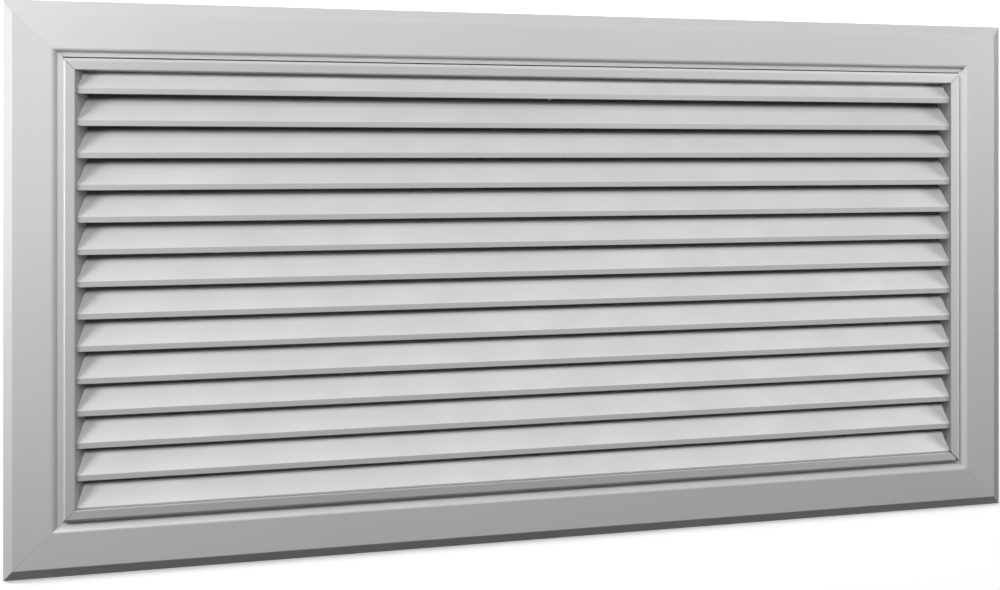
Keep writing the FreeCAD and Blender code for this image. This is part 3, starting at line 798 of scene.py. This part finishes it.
def lamp(name, azimuth, elevation, distance, width, height, power, lights):
    """A soft box, at angles from straight ahead, that is aimed at the middle of the grille."""
    data = bpy.data.lights.new(name, "AREA")
    data.shape = "RECTANGLE"
    data.size = width
    data.size_y = height
    data.energy = power
    piece = bpy.data.objects.new(name, data)
    bpy.context.scene.collection.objects.link(piece)
    across, up = math.radians(azimuth), math.radians(elevation)
    away = Vector((math.sin(across) * math.cos(up), -math.cos(across) * math.cos(up), math.sin(up)))
    piece.location = away * distance
    piece.rotation_euler = (-away).to_track_quat("-Z", "Y").to_euler()
    piece.visible_camera = False
    piece.light_linking.receiver_collection = lights


core_members = [bpy.data.objects["core_" + side + "_skin"] for side in SIDES]
top_rail, left_stile, right_stile = (
    bpy.data.objects["frame_" + side + "_skin"] for side in ("top_rail", "left_stile", "right_stile")
)
on_louvres = lit_only("on_louvres", louvres, "INCLUDE")
on_core = lit_only("on_core", core_members, "INCLUDE")
on_top = lit_only("on_top", [top_rail], "INCLUDE")
on_left = lit_only("on_left", [left_stile], "INCLUDE")
on_right = lit_only("on_right", [right_stile], "INCLUDE")
on_rest = lit_only("on_rest", louvres + core_members + [top_rail, left_stile, right_stile], "EXCLUDE")
beside_louvres = lit_only("beside_louvres", louvres, "EXCLUDE")
lamp("key_left", -45, 40, 2.4, 0.3, 0.3, 28.5, on_rest)
lamp("strip_front", 0, 40, 0.8, 1.4, 0.08, 3.55, on_rest)
lamp("strip_top", 0, 60, 0.6, 1.4, 0.15, 0.9, on_rest)
lamp("fill_right", 60, 15, 1.0, 0.4, 0.4, 1.62, on_rest)
lamp("fill_left", -85, 8, 0.7, 0.3, 0.3, 1.06, on_rest)
lamp("fill_left_high", -85, 20, 0.6, 0.4, 0.4, 0.59, on_rest)
lamp("louvre_front", 0, 21, 0.8, 0.3, 0.13, 2.1, on_louvres)
lamp("louvre_left", -50, 13.5, 0.9, 0.3, 0.13, 3.2, on_louvres)
lamp("louvre_right", 20, 20, 0.8, 0.2, 0.13, 1.6, on_louvres)
lamp("louvre_side_right", 60, 11, 1.0, 0.4, 0.13, 3.6, on_louvres)
lamp("louvre_side_left", -85, 20, 0.6, 0.4, 0.4, 0.76, on_louvres)
lamp("core_top", 0, 60, 0.6, 1.4, 0.15, 3.32, on_core)
lamp("core_left", -85, 8, 0.7, 0.3, 0.3, 3.56, on_core)
lamp("core_right", 60, 15, 1.0, 0.4, 0.4, 4.11, on_core)
lamp("core_front", 20, 24, 0.8, 0.2, 0.2, 0.81, on_core)
lamp("core_left_high", -85, 20, 0.6, 0.4, 0.4, 0.83, on_core)
lamp("core_far_right", 80, 8, 0.8, 0.3, 0.3, 0.73, on_core)
lamp("top_front", 0, 40, 0.8, 1.4, 0.15, 5.32, on_top)
lamp("top_left", -60, 15, 1.0, 0.4, 0.4, 3.75, on_top)
lamp("top_right", 60, 15, 1.0, 0.4, 0.4, 2.56, on_top)
lamp("top_far_left", -85, 20, 0.6, 0.4, 0.4, 0.78, on_top)
lamp("top_near", 20, 24, 0.8, 0.2, 0.2, 0.29, on_top)
lamp("left_front", -30, 25, 0.8, 0.2, 0.2, 3.22, on_left)
lamp("left_middle", 0, 22, 0.8, 0.3, 0.3, 2.21, on_left)
lamp("left_side", -85, 8, 0.7, 0.3, 0.3, 1.45, on_left)
lamp("left_side_high", -85, 20, 0.6, 0.4, 0.4, 0.49, on_left)
lamp("right_key", -45, 40, 2.4, 0.3, 0.3, 42.0, on_right)
lamp("right_front", 0, 40, 0.8, 1.4, 0.08, 3.1, on_right)
lamp("right_top", 0, 60, 0.6, 1.4, 0.15, 2.9, on_right)
lamp("right_fill", 60, 15, 1.0, 0.4, 0.4, 0.25, on_right)
lamp("behind", 180, 30, 1.2, 0.8, 0.8, 6.0, beside_louvres)

camera_data = bpy.data.cameras.new("camera")
camera_data.sensor_width = 36
camera_data.lens = 32.4
camera_data.shift_x = -0.1535
camera_data.shift_y = -0.142
camera_data.clip_start = 0.01
camera = bpy.data.objects.new("camera", camera_data)
bpy.context.scene.collection.objects.link(camera)
camera.location = (-0.0446, -0.6199, 0.0845)
camera.rotation_euler = (QUARTER, 0, -math.radians(10.629))
bpy.context.scene.camera = camera
bpy.context.scene.view_settings.view_transform = "Standard"
